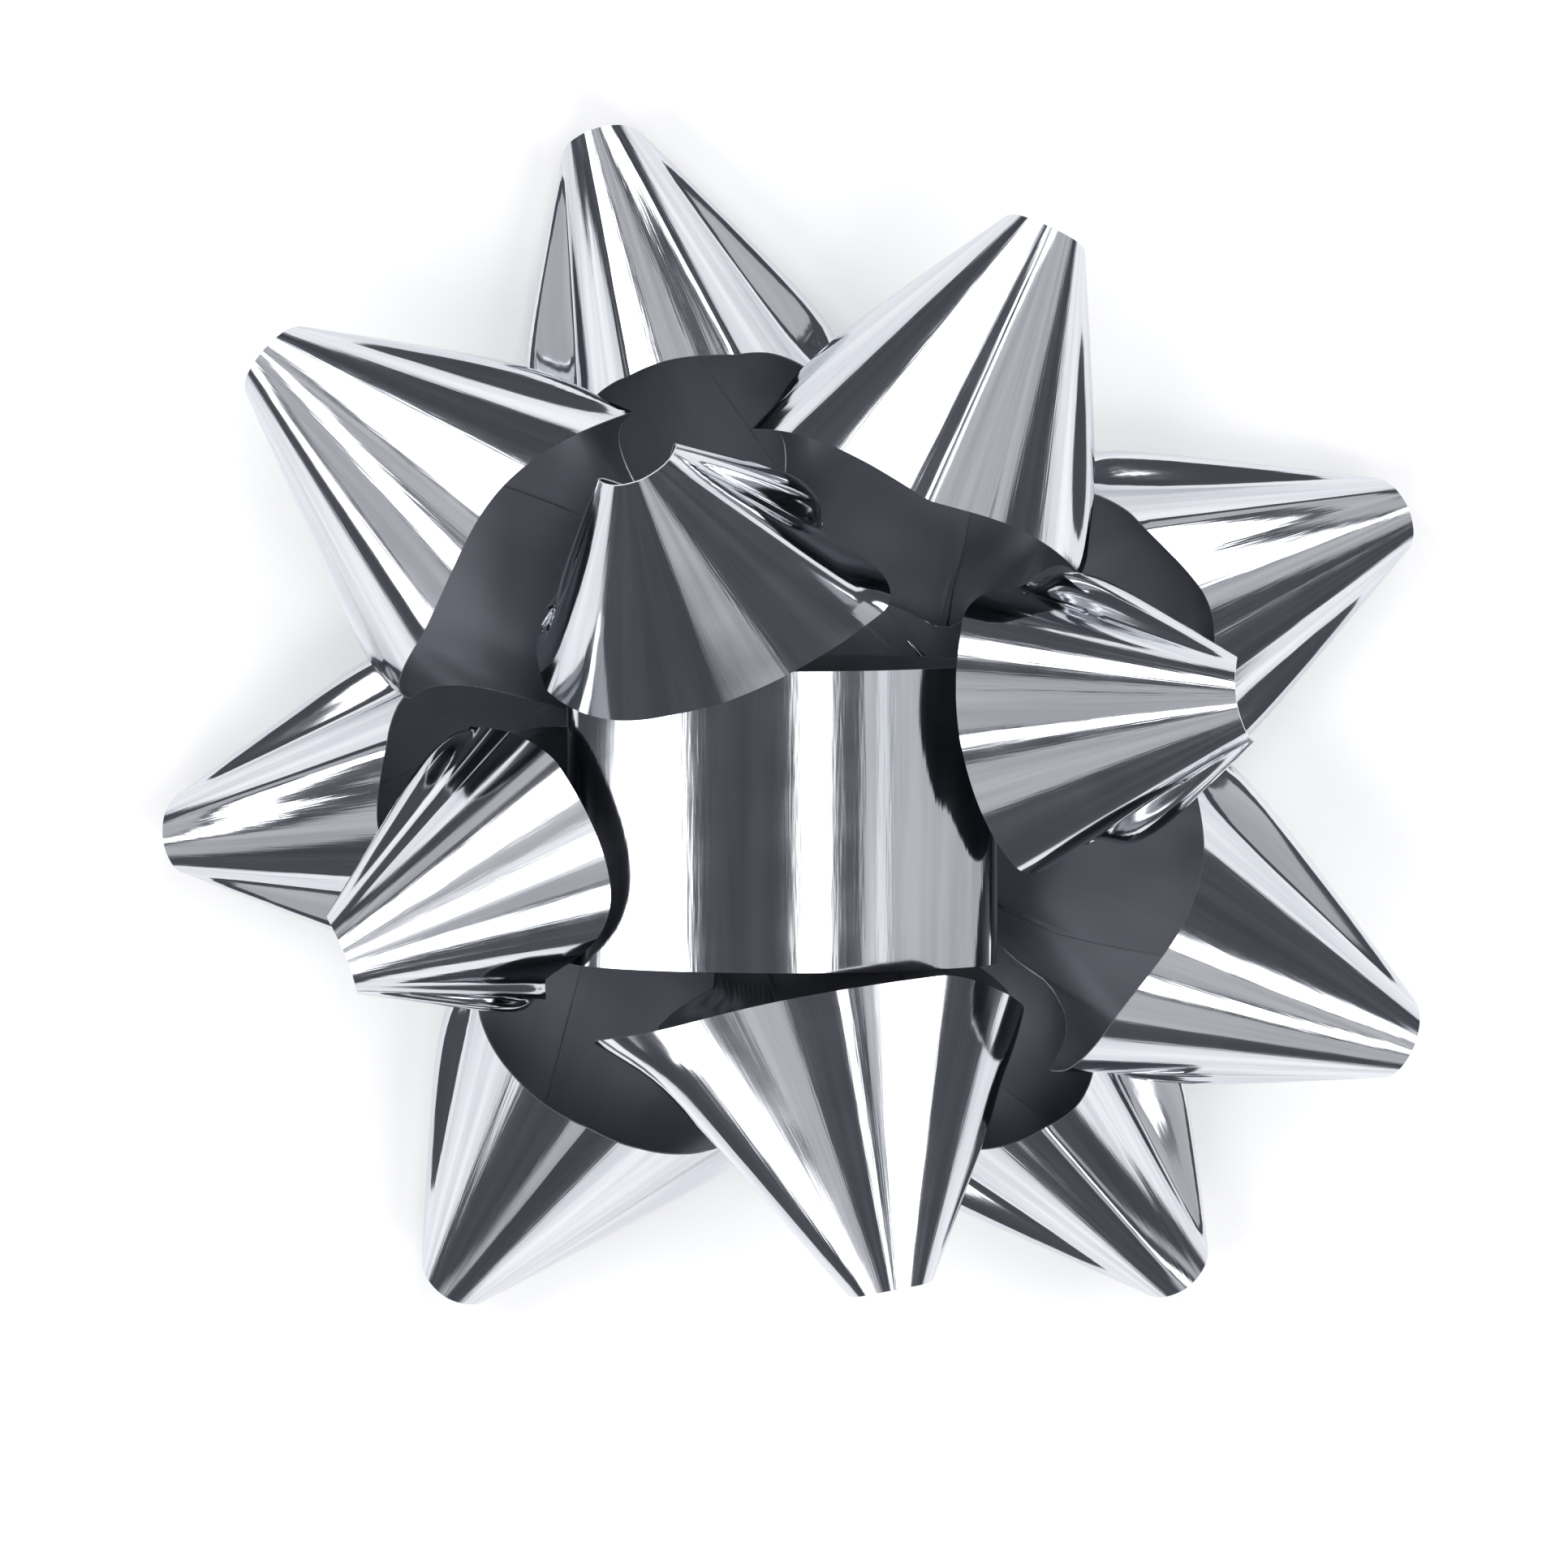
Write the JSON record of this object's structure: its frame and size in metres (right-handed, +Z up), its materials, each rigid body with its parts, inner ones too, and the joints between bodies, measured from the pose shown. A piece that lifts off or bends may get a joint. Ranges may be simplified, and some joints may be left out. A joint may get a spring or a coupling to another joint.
{
  "type": "gift bow",
  "caption": "Ready-made star gift bow: pointed loops of silver film ribbon in tiers round a plain centre loop, stapled to a card with a foam adhesive pad and a peel-off liner.",
  "frame": {"origin": "centre of the underside, on the lower face of the release liner", "axes": "+Z up through the staple to the centre loop; +X along the ribbon of the centre loop; +Y across it"},
  "size_m": [0.076, 0.0721, 0.0284],
  "materials": {
    "ribbon_film": "mirror-bright metallised plastic film, silver",
    "staple_wire": "bright steel wire",
    "card": "matt white card",
    "foam": "fine closed-cell white foam with adhesive on both faces",
    "liner": "smooth coated release paper"
  },
  "bodies": {
    "bow": {"loop_lower_1": "ribbon_film", "loop_lower_2": "ribbon_film", "loop_lower_3": "ribbon_film", "loop_lower_4": "ribbon_film", "loop_lower_5": "ribbon_film", "loop_middle_1": "ribbon_film", "loop_middle_2": "ribbon_film", "loop_middle_3": "ribbon_film", "loop_middle_4": "ribbon_film", "loop_middle_5": "ribbon_film", "loop_upper_1": "ribbon_film", "loop_upper_2": "ribbon_film", "loop_centre": "ribbon_film", "staple": "staple_wire", "base_card": "card", "adhesive_pad": "foam"},
    "liner": {"release_liner": "liner"}
  },
  "joints": [
    {"name": "liner_peel", "type": "slide", "parent": "bow", "child": "liner", "axis": [0, 0, -1], "range_m": [0, 0.03]}
  ]
}
